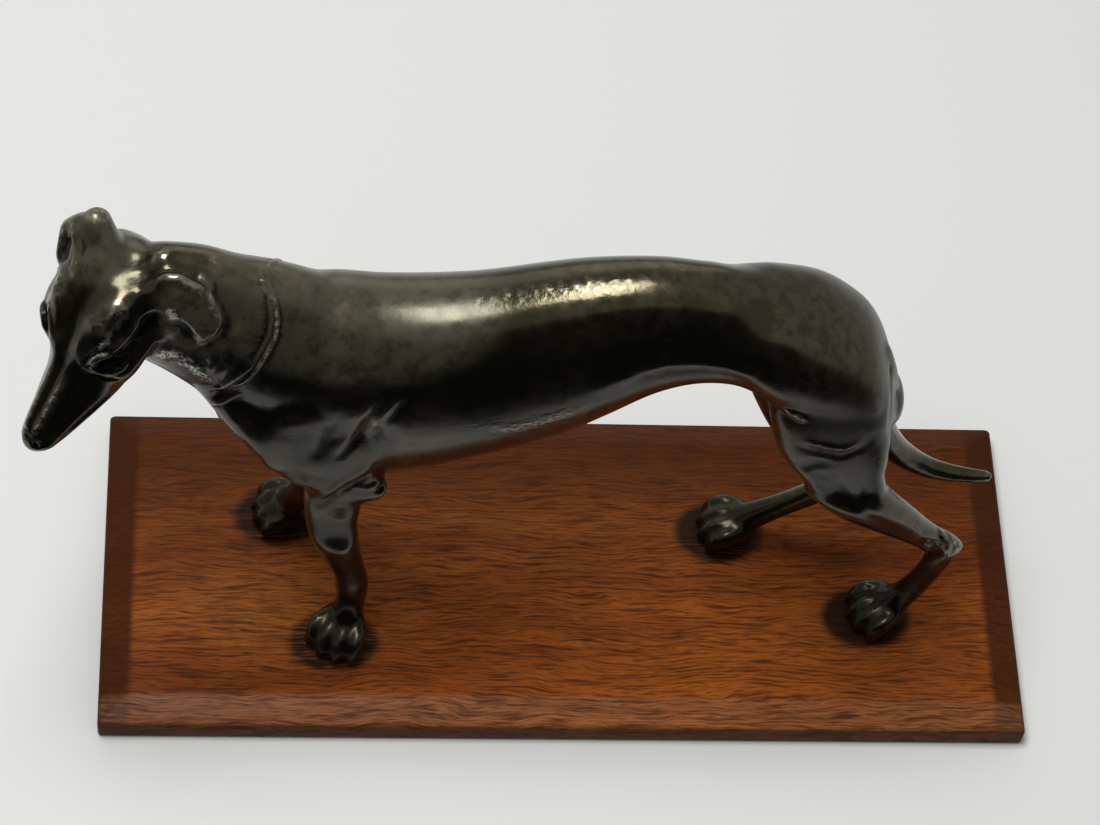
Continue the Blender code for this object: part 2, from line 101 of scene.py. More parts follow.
# Reliefs stored on the mesh: name, the smoothing passes that each is measured
# against, and the height in master units that counts as full.
RELIEFS = (("fine relief", 6, 0.10), ("broad relief", 60, 0.9))

# Flats of the flanks: where the pressing starts, is full, is still full and ends
# along X and in height, and the reach from the midline at the end heights. The
# last value is how softly the pressing sets in.
SHOULDER = (-108, -98, -66, -56), (78, 86, 116, 134), (19.5, 20.5)
THIGH = (44, 54, 84, 94), (80, 90, 130, 146), (20.8, 21.6)
ELBOW = (-92, -86, -65, -61), (50, 60, 86, 96), (19.8, 20.2)
FLATS = ((NEAR, *SHOULDER), (NEAR, *THIGH), (FAR, *SHOULDER), (FAR, *THIGH), (NEAR, *ELBOW))
FLAT_EASE = 1.2

# Creases to soften: centre, reach, and smoothing passes at the standard fineness.
SOFT_SPOTS = (
    ((-146, -7.5, 178), 12, 150),
    ((-74, -24, 82), 14, 300),
    ((-75, -24, 62), 10, 150),
    ((-80, -24, 100), 12, 90),
    ((66, -25, 138), 17, 120),
    ((74, -25, 96), 12, 60),
)

# The board's rounded arrises.
ARRIS_WIDTH = 0.0012
ARRIS_ANGLE = math.radians(12)
SMOOTH_ANGLE = math.radians(30)

# Tones of the bronze and the board that no setting changes; some are painted light or shade, as
# marked below.
BLOOM_TONE = (0.064, 0.060, 0.036, 1)
BARE_TONE = (0.44, 0.42, 0.37, 1)
EDGE_TONE = (0.24, 0.23, 0.19, 1)
HOLLOW_TONE = (0.010, 0.009, 0.007, 1)
# Painted shade: darkens the paws and the legs' lowest parts near the board.
LOW_SHADE_TONE = (0.016, 0.012, 0.008, 1)
# Painted light: a lighter patch on the board by the fore paws.
PAINTED_LIGHT_TONE = (0.30, 0.092, 0.016, 1)
# Painted shade: darkens the board towards its far side, behind and under the dog.
FAR_SHADE_TONE = (0.036, 0.012, 0.004, 1)
# Painted shade: darkens the board towards the tail end.
TAIL_SHADE_TONE = (0.07, 0.014, 0.003, 1)
END_CHAMFER_TONE = (0.036, 0.010, 0.003, 1)
NEAR_CHAMFER_TONE = (0.26, 0.12, 0.055, 1)
RIM_TONE = (0.05, 0.02, 0.010, 1)
STREAK_TONE = (0.030, 0.0085, 0.003, 1)
PAW_RING_TONE = (0.008, 0.005, 0.003, 1)

# Places with a tone or gloss of their own, and a patch of painted light on the board: centre and
# half sizes, in metres.
BACK_BLOOM = (-0.074, -0.02, 0.180), (0.052, 0.07, 0.031)
NECK_BLOOM = (-0.118, -0.018, 0.178), (0.017, 0.016, 0.022)
EAR_BLOOM = (-0.147, -0.001, 0.192), (0.018, 0.018, 0.020)
DULL_RUMP = (0.095, -0.01, 0.150), (0.062, 0.06, 0.045)
BOARD_PAINTED_LIGHT = (-0.088, -0.016, 0.011), (0.062, 0.026, 0.05)
PAW_MARKS = ((-0.075, -0.029), (-0.093, 0.018), (0.100, -0.018), (0.053, 0.014))
PAW_MARK_HEIGHT = 0.011
PAW_MARK_SIZES = (0.0168, 0.0130, 0.02)

# Stage: each light's name, place, size, power and colour, the point that they
# face, the air's light, and the dark card's lower and upper edge and half length.
LIGHTS = (
    ("overhead window", (-0.32, 0.10, 1.55), (0.8, 0.6), 22, (1.0, 0.99, 0.97)),
    ("back wall", (-0.2, 2.2, 1.1), (2.5, 1.2), 8, (0.96, 0.98, 1.0)),
)
LIGHTS_AIM = Vector((0, 0, 0.1))
AIR_COLOUR = (0.99, 1.0, 0.99, 1)
AIR_STRENGTH = 0.42
FLOOR_SIZE = 8
CARD_FOOT = Vector((0, -0.104, 0.0005))
CARD_HEAD = Vector((0, -0.62, 0.66))
CARD_HALF = Vector((1.1, 0, 0))
CARD_TONE = (0.004, 0.004, 0.004, 1)


def a_length(name, description, default, **limits):
    """A length that a user would change, in metres."""
    return bpy.props.FloatProperty(name=name, description=description, default=default,
                                   unit="LENGTH", precision=4, **limits)


def a_colour(name, description, *tone):
    """A colour that a user would change, as red, green and blue."""
    return bpy.props.FloatVectorProperty(name=name, description=description, size=4,
                                         subtype="COLOR", min=0, max=1, default=(*tone, 1))


class StatueSettings(bpy.types.PropertyGroup):
    """Sizes and colours that a user would change."""

    withers: a_length("Withers height", "Height of the shoulders above the board",
                      0.158, min=0.05, max=0.5)
    fineness: bpy.props.FloatProperty(
        name="Fineness", description="Grain of the modelling, in master units",
        default=STANDARD_FINENESS, min=0.3, max=2.0)
    facets: bpy.props.IntProperty(
        name="Facets", description="Triangles of the finished casting",
        default=190000, min=20000, max=199000)
    board_length: a_length("Board length", "Length of the mahogany board",
                           BOARD_HIGH.x - BOARD_LOW.x)
    board_width: a_length("Board width", "Width of the mahogany board", BOARD_HIGH.y - BOARD_LOW.y)
    board_thickness: a_length("Board thickness", "Thickness of the mahogany board",
                              BOARD_HIGH.z - BOARD_LOW.z)
    chamfer_run: a_length("Chamfer run", "Width of the chamfer, seen from above", 0.010)
    chamfer_drop: a_length("Chamfer drop", "Height of the chamfer", 0.003)
    bronze_dark: a_colour("Bronze", "Brown-black patina of the casting", 0.037, 0.035, 0.026)
    bronze_rubbed: a_colour("Rubbed bronze", "Warmer metal where hands have rubbed it",
                            0.085, 0.072, 0.045)
    # Olive patina that is also painted top light: it is laid on upward faces.
    olive_top_light: a_colour("Olive patina", "Greenish patina of the shoulders and back",
                           0.048, 0.044, 0.022)
    mahogany_pale: a_colour("Pale mahogany", "Lighter bands of the board", 0.34, 0.090, 0.014)
    mahogany_dark: a_colour("Dark mahogany", "Darker bands of the board", 0.160, 0.036, 0.006)
    floor_colour: a_colour("Floor", "Colour of the studio floor", 0.595, 0.602, 0.592)


def read_points(mesh):
    """A mesh's points as an array."""
    places = np.empty(len(mesh.vertices) * 3)
    mesh.vertices.foreach_get("co", places)
    return places.reshape(-1, 3)


def write_points(mesh, places):
    """Move a mesh's points to new places."""
    mesh.vertices.foreach_set("co", places.ravel())
    mesh.update()


def read_normals(mesh):
    """A mesh's point normals as an array."""
    normals = np.empty(len(mesh.vertices) * 3)
    mesh.vertex_normals.foreach_get("vector", normals)
    return normals.reshape(-1, 3)


def put(item, kind, **settings):
    """Add a modifier to the piece, set it and apply it."""
    bpy.context.view_layer.objects.active = item
    bpy.ops.object.modifier_add(type=kind)
    modifier = item.modifiers[-1]
    for name, value in settings.items():
        setattr(modifier, name, value)
    bpy.ops.object.modifier_apply(modifier=modifier.name)


def smooth_rows(rows, steps):
    """Pass a smooth curve through the rows of a station table."""
    rows = np.array(rows, float)
    gaps = np.linalg.norm(np.diff(rows[:, :3], axis=0), axis=1)
    slopes = np.diff(rows, axis=0) / gaps[:, None]
    before, after = gaps[:-1, None], gaps[1:, None]
    middle = (slopes[:-1] * after + slopes[1:] * before) / (before + after)
    tangents = np.vstack([slopes[:1], middle, slopes[-1:]])
    result = []
    for i, gap in enumerate(gaps):
        for u in np.arange(steps) / steps:
            h00 = (1 + 2 * u) * (1 - u) ** 2
            h10 = u * (1 - u) ** 2
            h01 = u * u * (3 - 2 * u)
            h11 = u * u * (u - 1)
            result.append(h00 * rows[i] + h10 * gap * tangents[i]
                          + h01 * rows[i + 1] + h11 * gap * tangents[i + 1])
    result.append(rows[-1])
    return np.array(result)


def skin(rings):
    """Draw a sphere out over rings of points, whose first and last ring are tips."""
    rows, ring = rings.shape[:2]
    bpy.ops.mesh.primitive_uv_sphere_add(segments=ring, ring_count=rows - 1, radius=1)
    form = bpy.context.object
    ball = read_points(form.data)
    row = np.rint(np.arccos(np.clip(ball[:, 2], -1, 1)) * (rows - 1) / math.pi).astype(int)
    turn = np.arctan2(ball[:, 1], ball[:, 0]) / math.tau
    write_points(form.data, rings[row, np.rint(turn * ring).astype(int) % ring])
    return form


def tube(stations, front, ring=28, steps=5, caps=(0.6, 0.6), axis=None, square=2.0):
    """Loft a closed tube through stations (x, y, z, ahead, behind, side).

    Each ring stands across the path, or across a given axis. Its half sizes
    are measured towards front, away from front, and sideways.
    """
    rows = smooth_rows(stations, steps)
    ways = np.tile(axis, (len(rows), 1)) if axis else np.gradient(rows[:, :3], axis=0)
    ways = ways / np.linalg.norm(ways, axis=1)[:, None]
    turns = np.array([1.0, 0.95, 0.75, 0.45])
    starts = rows[0, :3] - ways[0] * caps[0] * rows[0, 3:5].min() * turns[:, None]
    ends = rows[-1, :3] + ways[-1] * caps[1] * rows[-1, 3:5].min() * turns[::-1, None]
    centres = np.vstack([starts, rows[:, :3], ends])
    ways = np.vstack([ways[:1].repeat(4, 0), ways, ways[-1:].repeat(4, 0)])
    sizes = np.vstack([rows[:1, 3:].repeat(4, 0), rows[:, 3:], rows[-1:, 3:].repeat(4, 0)])
    shrink = np.sqrt(1 - turns ** 2)
    sizes = sizes * np.concatenate([shrink, np.ones(len(rows)), shrink[::-1]])[:, None]
    sides = np.cross(ways, np.array(front, float))
    sides /= np.linalg.norm(sides, axis=1)[:, None]
    aheads = np.cross(sides, ways)
    angles = math.tau * np.arange(ring) / ring
    c, s = np.cos(angles), np.sin(angles)
    c = np.copysign(np.abs(c) ** (2 / square), c)
    s = np.copysign(np.abs(s) ** (2 / square), s)
    reach = c * np.where(c > 0, sizes[:, :1], sizes[:, 1:2])
    across = s * sizes[:, 2:3]
    return skin(centres[:, None] + aheads[:, None] * reach[..., None]
                + sides[:, None] * across[..., None])


def blob(centre, sizes, turn=None):
    """An ellipsoid of half sizes along its own three axes."""
    rotation = turn.to_euler() if turn else (0, 0, 0)
    bpy.ops.mesh.primitive_ico_sphere_add(subdivisions=4, radius=1, location=centre,
                                          rotation=rotation, scale=sizes)
    return bpy.context.object


# Head frame: the skull's centre at the ears, and the way the muzzle points.
SKULL = Vector((-140.4, -4.0, 171.8))
HEAD_TURN = math.radians(50)
HEAD_DROP = math.radians(48)
HEAD_ROLL = math.radians(-4)
MUZZLE = Vector((-math.cos(HEAD_TURN) * math.cos(HEAD_DROP),
                 -math.sin(HEAD_TURN) * math.cos(HEAD_DROP), -math.sin(HEAD_DROP)))
LEVEL = UP.cross(MUZZLE).normalized()
HEAD_TOP = Matrix.Rotation(-HEAD_ROLL, 3, MUZZLE) @ MUZZLE.cross(LEVEL)
HEAD_LEFT = HEAD_TOP.cross(MUZZLE)


def head(along, left=0.0, top=0.0):
    """A point of the head: along the muzzle, to its left and to its crown."""
    return SKULL + MUZZLE * along + HEAD_LEFT * left + HEAD_TOP * top


def torso():
    """Chest, ribs, loin and croup, as upright sections along X."""
    table = [
        # x, crown, widest level, underside, half width
        (-108, 119, 108, 94, 8),
        (-102, 148, 113, 82, 14),
        (-92, 161, 122, 76, 18.2),
        (-80, 163, 125, 77, 19.8),
        (-66, 160.5, 124, 78, 21),
        (-50, 160.5, 125, 82, 21.3),
        (-34, 163.5, 128, 88.5, 20.4),
        (-20, 168, 133, 95, 19.6),
        (-8, 171.5, 138, 102, 18.6),
        (5, 174, 143, 113, 17),
        (17, 174.5, 147, 124.5, 15.8),
        (29, 172.5, 148, 131, 15.3),
        (41, 169.5, 150, 131, 17),
        (53, 165, 147, 122, 20),
        (65, 159, 142.5, 111, 22),
        (74, 152.5, 136, 105, 21.7),
        (82, 144.5, 129, 101, 19.6),
        (88, 132, 120, 102, 15),
        (91.5, 119, 113, 105, 9),
    ]
    rows = [(x, MIDLINE, wide, crown - wide, wide - under, half)
            for x, crown, wide, under, half in table]
    tube(rows, UP, ring=48, axis=(1, 0, 0), square=2.3)


def neck():
    """Deep neck from the shoulders to the skull."""
    tube([
        (-80, MIDLINE, 130, 32, 34, 18.5),
        (-93, MIDLINE, 136, 30.5, 33, 18),
        (-106, MIDLINE, 143, 30, 28, 16.4),
        (-118, MIDLINE - 0.3, 150, 27.5, 23, 14.8),
        (-128, MIDLINE - 0.6, 157, 26, 21.5, 13.4),
        (-135, MIDLINE - 1, 162, 23, 19, 12),
    ], UP, ring=40)


def skull():
    """Skull, orbits, cheeks and muzzle, as sections across the muzzle's way.

    A section runs from the crown over the brow's edge, the temple, the
    cheekbone and the jaw's edge to the chin, and the same on the other side.
    """
    table = [
        # along, crown, brow (side, up), temple, cheekbone, jaw edge, chin
        (-8, 1, 6, 0.5, 9, -2.5, 10, -6, 7, -11, -13),
        (-2, 5.5, 9.6, 4.5, 12.6, 0.8, 13.5, -4.4, 10, -13, -16),
        (4, 8.5, 10.9, 7.6, 13.5, 2.5, 15.2, -4, 11.5, -14.5, -17.5),
        (11, 9.3, 10.4, 8.4, 13, 3, 16, -4.5, 12, -15, -18),
        (18, 9.2, 9.8, 8.2, 13.2, 3, 17, -4, 11.8, -14, -17.5),
        (24, 8, 7.6, 7.8, 12.2, 3, 17, -3.4, 11.4, -13.4, -17),
        (28.5, 6, 5.5, 6.2, 9.6, 2.2, 15, -3.8, 11.4, -13.4, -17),
        (32, 4.6, 4, 4.4, 7.6, 0.8, 12.2, -4.2, 11.2, -13.4, -17),
        (36, 4.2, 3.3, 3.8, 6.4, 0.8, 10, -4.4, 10.6, -12.8, -16.2),
        (42, 4, 3.1, 3.4, 5.9, 0.8, 8.8, -4.2, 9.2, -11.2, -14.2),
        (49, 3.8, 2.8, 3.2, 5.2, 0.8, 7.5, -3.6, 7.4, -8.8, -11.2),
        (55.5, 3.6, 2.5, 3.1, 4.6, 1, 6.3, -2.6, 5.6, -6.4, -8),
        (59.5, 2.9, 2.1, 2.4, 3.8, 0.8, 5, -2, 3.8, -4.8, -5.8),
        (61.8, 1.2, 1, 1, 1.9, 0.2, 2.6, -1.6, 1.9, -3.1, -3.7),
    ]
    rows = smooth_rows([(row[0], 0, 0, *row[1:]) for row in table], 4)
    rings = []
    for row in rows:
        half = [(0, row[3])] + [tuple(row[k:k + 2]) for k in (4, 6, 8, 10)] + [(0, row[12])]
        loop = half + [(-left, up) for left, up in half[-2:0:-1]]
        closed = smooth_rows([(*p, 0) for p in loop[-2:] + loop + loop[:3]], 5)[10:60]
        rings.append([head(row[0], left, up) for left, up, _ in closed])
    rings = np.array(rings)
    tips = [np.tile(head(along, 0, up), (1, rings.shape[1], 1))
            for along, up in ((-10, -5), (62.6, -1.5))]
    skin(np.vstack([tips[0], rings, tips[1]]))


def ears():
    """Near ear laid back on the neck, far ear half raised and folded over."""
    blob(Vector((-122.2, -14.6, 167.5)), (10, 3.8, 15.5),
         Matrix.Rotation(math.radians(-24), 3, "Y") @ Matrix.Rotation(math.radians(-11), 3, "X"))
    tube([
        (*head(1, 10, 1), 6, 6, 4),
        (-130.5, -13, 171, 7, 7, 4),
        (-127, -14, 168, 7, 7, 3.5),
    ], UP, caps=(0.5, 0.8))
    tube([
        (-146, -1.5, 167, 9, 7, 10),
        (-147, 1, 175, 7, 6, 7.8),
        (-147.2, 3, 182, 6, 5, 6.2),
        (-146.4, 4, 187, 3.9, 3.4, 3.9),
    ], (0, -1, 0), caps=(0.5, 0.65))
    tube([
        (-144.5, -5.5, 167, 9.5, 9, 9.5),
        (-146.2, -1.5, 176, 7.8, 7, 7.8),
        (-147, 2.5, 183, 5.5, 4.5, 5.5),
    ], (0, -1, 0), caps=(0.5, 0.6))
    tube([
        (-149.3, 2.8, 181, 6.2, 6, 5.8),
        (-153.4, 4, 176, 6, 6, 5.6),
        (-156, 4.4, 169.5, 4.6, 4.6, 4.6),
    ], (0, -1, 0), caps=(0.5, 0.6))


def paw(centre, heading):
    """Four arched toes with claws, set close round a pad."""
    ahead = Vector((*heading, 0)).normalized()
    side = Vector((-ahead.y, ahead.x, 0))
    middle = Vector((*centre, 0))
    blob(middle - ahead * 1.5 + UP * (PAW_HEIGHT * 0.40), (8.2, 8.2, PAW_HEIGHT * 0.52))
    for across in (-1.5, -0.5, 0.5, 1.5):
        reach = 8.6 if abs(across) < 1 else 6.4
        root = middle - ahead * 4.5 + side * (across * 3) + UP * PAW_HEIGHT * 0.76
        line = middle + side * (across * 4.9)
        toe = [(*(line + ahead * (reach * out) + UP * PAW_HEIGHT * up), *sizes)
               for out, up, *sizes in ((0.32, 0.74, 3.2, 5, 2.5), (0.84, 0.43, 3, 5, 2.4),
                                       (1.02, 0.20, 2.3, 2.8, 2))]
        tube([(*root, 3, 3, 2.5), *toe], UP, ring=20, steps=4)
        claw = line + ahead * (reach * 1.14)
        tube([
            (*(claw + UP * 3.4), 1.3, 1.3, 1.1),
            (*(claw + ahead * 0.9 + UP * 1.6), 0.8, 0.8, 0.7),
        ], UP, ring=12, steps=3)


def fore_leg(side, shoulder_x, forearm, paw_centre, paw_way):
    """Shoulder blade, upper arm and forearm over a paw."""
    def placed(rows):
        return [(shoulder_x + x, MIDLINE + side * y, *rest) for x, y, *rest in rows]
    tube(placed([(24, 8, 150, 8, 9, 5), (14, 11.5, 132, 11, 12, 7),
                 (4, 14, 112, 11, 13, 8.5), (4.5, 14.5, 98, 9, 11, 8.5)]), FRONT)
    tube(placed([(-22, 5.5, 140, 9, 9, 6), (-12, 8.5, 127, 10, 10, 7.5),
                 (-3, 12, 113, 10, 10, 8.5), (4, 14, 101, 9, 9, 8.5)]), FRONT)
    tube(placed([(26, 13, 118, 10, 10, 7), (22, 15, 103, 11, 11, 8),
                 (21, 15.5, 91, 10, 10, 8)]), FRONT)
    tube(placed([(5, 14, 99, 10.5, 9, 8.2), (14, 16, 92, 12, 10, 8.5),
                 (24, 16.5, 85, 10, 8, 7.5), (31, 16, 80, 6, 6, 5.5)]), UP)
    tube(forearm, FRONT)
    paw(paw_centre, paw_way)


def hind_leg(thigh, shin, shank, heel, paw_centre, paw_way):
    """Thigh, second thigh, hock and rear pastern over a paw."""
    tube(thigh, FRONT, ring=36)
    tube(shin, FRONT)
    tube(heel, FRONT, ring=20)
    tube(shank, FRONT)
    paw(paw_centre, paw_way)


def legs():
    """The four legs."""
    fore_leg(
        NEAR, -96,
        [(-73.5, -17.4, 86, 12.5, 8, 6.6), (-75, -18.7, 72, 11.5, 7, 6.3),
         (-75, -20, 57, 10, 6.2, 6.2), (-73, -20, 43, 7.8, 5.6, 5.4),
         (-71, -20.5, 32, 5.4, 5.4, 5), (-70, -21, 25, 5.6, 5.6, 5.4),
         (-70, -22, 17, 4.8, 5, 5), (-71.5, -25, 9, 5.2, 5.2, 6.2)],
        (-73.2, -28.2), (-0.45, -0.89))
    fore_leg(
        FAR, -94,
        [(-74, 12, 86, 12, 8, 8), (-77, 12.5, 72, 10, 7, 7),
         (-79.5, 13, 57, 7.5, 6, 5.8), (-82, 13.5, 43, 5.4, 5.2, 5),
         (-84, 14, 32, 4.8, 5, 4.6), (-85, 14.5, 25, 5, 5.4, 5),
         (-87.5, 15.5, 17, 4.3, 4.6, 4.6), (-91, 17, 9, 5, 5, 6)],
        (-91.8, 18), (-0.98, -0.1))
    hind_leg(
        [(66, -12, 138, 17, 17, 9), (69, -16.5, 127, 18, 19, 10),
         (71.5, -18.5, 115, 17.5, 18.5, 9), (75.5, -20.5, 104, 15, 15.5, 8.2),
         (79, -21.3, 94, 12, 12.5, 7.5), (84, -21.3, 85, 9.3, 9.5, 6.5)],
        [(78, -21, 94, 14, 11, 7), (88, -20.8, 80, 12.5, 8.2, 6.4),
         (100, -19, 66, 10, 6.3, 5.2), (110, -17.5, 54.5, 6.6, 4.7, 4.4),
         (117, -16.5, 46, 5.2, 4.8, 4.2)],
        [(118, -16.5, 45, 5, 5, 4.4), (117.5, -16.5, 36, 4.6, 4.6, 4.2),
         (114.5, -16.8, 25, 4.3, 4.3, 4), (110.5, -17, 15, 4.5, 4.2, 4.8),
         (106, -17.3, 9, 5, 5, 6)],
        [(112, -17.5, 55, 2.2, 2.2, 2.2), (118, -16.4, 49, 3, 3, 3),
         (122.5, -16, 43.5, 3, 3, 3)],
        (103.3, -17.6), (-0.93, -0.37))
    hind_leg(
        [(62, 4, 138, 17, 17, 9), (60, 8.5, 127, 17, 20, 10),
         (59, 10.5, 115, 15.5, 19, 9), (60, 12.5, 104, 12.5, 15.5, 8.2),
         (61.5, 13.3, 94, 9.5, 12.5, 7.5), (64.5, 13.3, 84, 7.5, 9.5, 6.5)],
        [(60.5, 13, 94, 9.5, 11, 7), (66.5, 13, 78, 9, 8.2, 6.4),
         (74, 13, 62, 8.5, 6.3, 5.2), (82, 12.8, 49.5, 6.2, 4.7, 4.4),
         (87.5, 12.5, 41, 5, 4.8, 4.2)],
        [(88.5, 12.5, 40, 5, 5, 4.4), (83, 12.7, 31, 4.6, 4.6, 4.2),
         (74, 13.2, 22, 4.3, 4.3, 4), (65, 13.6, 14, 4.5, 4.2, 4.8),
         (59, 13.7, 9, 5, 5, 6)],
        [(83, 12.6, 50, 2.2, 2.2, 2.2), (89, 12.4, 44, 3, 3, 3),
         (93.5, 12.4, 38.5, 3, 3, 3)],
        (55.5, 13.7), (-1, 0))


def tail():
    """Tail, hanging behind the thighs and curving out to its tip."""
    tube([
        (82, MIDLINE, 135, 6, 6, 6.5),
        (86.2, MIDLINE, 122, 5.8, 5.8, 6),
        (87.3, MIDLINE, 107, 5.2, 5.2, 5.5),
        (92.3, MIDLINE + 0.7, 91, 4.9, 4.9, 5),
        (101, MIDLINE + 1.5, 77, 4.3, 4.3, 4.4),
        (113, MIDLINE + 2, 67.5, 3.4, 3.4, 3.5),
        (124, MIDLINE + 2, 64.5, 2.6, 2.6, 2.7),
        (131, MIDLINE + 2, 64, 2.1, 2.1, 2.1),
    ], FRONT, ring=20)


# The collar's main line on either flank, by length and height.
COLLAR = [(-98.4, 171), (-96.4, 168), (-95.5, 163), (-96.2, 158.5), (-98.5, 153),
          (-101.3, 146.6), (-105, 140), (-110, 134)]

# Small bumps along the spine.
SPINE_START, SPINE_GAP, SPINE_BUMPS = -38, 3.9, 12

# Where the finest carving comes: the eyes, the nose, the throat and the collar.
FINE_SPOTS = (
    (head(24, 13), 8), (head(24, -13), 8), (head(58), 7),
    (Vector((-122, -17, 140)), 11), (Vector((-99, -14, 158)), 15),
)


# Carving strokes. Each is a way of aiming, its points, a radius and a depth,
# which is outward where it is positive. An aim turns a point into a ray.
def beside(side):
    """Aim at a flank, by length and height."""
    return lambda x, z: (Vector((x, side * 90, z)), Vector((0, -side, 0)))


def above(x, y):
    """Aim straight down."""
    return Vector((x, y, 240)), Vector((0, 0, -1))


def ahead(y, z):
    """Aim backwards, from in front of the dog."""
    return Vector((-190, y, z)), Vector((1, 0, 0))


def on_crown(along, left):
    """Aim at the head from over its crown."""
    return head(along, left, 50), -HEAD_TOP


def on_brow(side):
    """Aim at one side of the head from over its crown, by length and distance out."""
    return lambda along, out: on_crown(along, -side * out)


def on_cheek(side):
    """Aim at one cheek, by length along the head and height on it."""
    return lambda along, top: (head(along, -side * 50, top), HEAD_LEFT * side)


def aimed(aim, marks):
    """Strokes that share one way of aiming; a mark is points, radius and depth."""
    return [(aim, *mark) for mark in marks]


def flank_strokes():
    """Muscles and bones of the two sides."""
    strokes = []
    for side in (NEAR, FAR):
        strokes += aimed(beside(side), [
            ([(-62.7, 140), (-65.5, 135), (-68.2, 127), (-70, 119), (-73.2, 111), (-76, 104.5)],
             2.2, -0.75),
            ([(-70, 133), (-73, 124), (-77, 111)], 5, 0.35),
            ([(-59.5, 141), (-62.5, 135), (-65.5, 127), (-67.5, 119)], 3.4, 0.5),
            ([(-57, 138), (-60, 133), (-63, 126)], 3, -0.4),
            ([(37, 166), (44, 166)], 10, -1),
            ([(0, 142), (10, 150), (17, 153), (29, 153), (36, 152.5), (43, 150), (50, 140)], 6, 0.8),
            ([(-81, 75), (-75, 85), (-68, 93), (-65, 99)], 2.4, -0.5),
            ([(-79.5, 80), (-73, 89.5), (-67, 97)], 3, 0.3),
            ([(-89, 92)], 7, -0.3),
        ])
    strokes += aimed(beside(NEAR), [
        ([(-62.9, 84.5)], 2.4, -0.6),
        ([(-71, 87), (-67.5, 85.5), (-64, 87)], 2.4, 0.3),
        ([(-75, 71)], 4, -0.4),
        ([(62, 116), (68.6, 113), (74, 111.4), (79, 115), (82, 121)], 3.2, -0.4),
        ([(63, 118.5), (69, 116.5), (75, 115), (80, 119)], 3, 0.35),
        ([(55, 132.5), (60.5, 130)], 2.4, 0.8),
        ([(62, 104), (67, 107), (72, 107)], 4.5, -0.3),
        ([(64.3, 101), (68, 93), (72.3, 88.5)], 3.2, 0.35),
        ([(70, 101), (74, 99), (80, 88), (86, 81), (95, 71), (106, 60)], 3.6, -0.5),
        ([(109, 57), (114, 52), (115.5, 45), (113, 38)], 3.2, -1.2),
        ([(114, 57), (119, 50), (118, 43)], 2.2, 0.5),
        ([(87, 138), (87.5, 128), (89, 116)], 3.2, -0.6),
    ])
    strokes += aimed(beside(FAR), [
        ([(44, 121), (50, 115), (57, 115), (67, 119), (76, 130)], 4, -0.7),
        ([(55, 98), (62, 80), (71, 66), (80, 53)], 4, -0.9),
        ([(86, 44)], 4.2, -1.2),
    ])
    return strokes


def head_strokes():
    """Brows, sockets, cheeks, mouth and the hollows of the ears."""
    strokes = []
    for side in (NEAR, FAR):
        strokes += aimed(on_brow(side), [
            ([(26, 7.8), (23.7, 9.2), (20, 11.2), (16, 12.4), (9, 13.4), (3, 14.4)], 3.8, 2.2),
            ([(15, 8.5), (10, 9.6), (6, 10.2)], 8.5, 2.1),
            ([(-4, 6), (-5, 10)], 7.5, -1.2),
        ])
        strokes += aimed(on_cheek(side), [
            ([(5, 0), (10, -1), (15, -1)], 5, -1.5),
            ([(20, -6), (12, -7.5), (5, -6.5)], 3.5, 0.7),
        ])
        strokes.append((on_brow(side), [(24.6, 11.8)], 4.6, -1.3))
        strokes += aimed(on_cheek(side), [
            ([(56.5, -3.6), (49, -5.4), (42, -7.6), (35, -10.5), (31, -11.5)], 1.7, -0.8),
            ([(-3, -15), (4, -16.5), (12, -16)], 3.5, -0.9),
        ])
    strokes += aimed(on_crown, [
        ([(30, 0), (22, 0), (8, 0)], 4, -0.7),
        ([(30, 2.7), (44, 2.4), (58, 1.8)], 2.7, 1),
        ([(30, -2.7), (44, -2.4), (58, -1.8)], 2.7, 1),
    ])
    strokes.append((ahead, [(4, 166), (4.5, 171), (4.8, 177)], 4.4, -2.6))
    strokes += aimed(beside(NEAR), [
        ([(-156, 181.5), (-156.6, 177.5), (-156.6, 172.5)], 3.2, -2.6),
        ([(-152.8, 183), (-152.4, 177.5), (-152.8, 171.5)], 2.2, 0.7),
        ([(-124, 166), (-122, 161), (-120, 157.5)], 4, -2.6),
        ([(-126, 181), (-123, 181), (-118.5, 178), (-115.5, 175.5), (-112.6, 169), (-111.8, 165),
          (-113, 160)], 2.2, 0.8),
        ([(-139, 177), (-134, 178), (-130, 180.5), (-126.5, 181.5)], 3, 0.8),
    ])
    return strokes


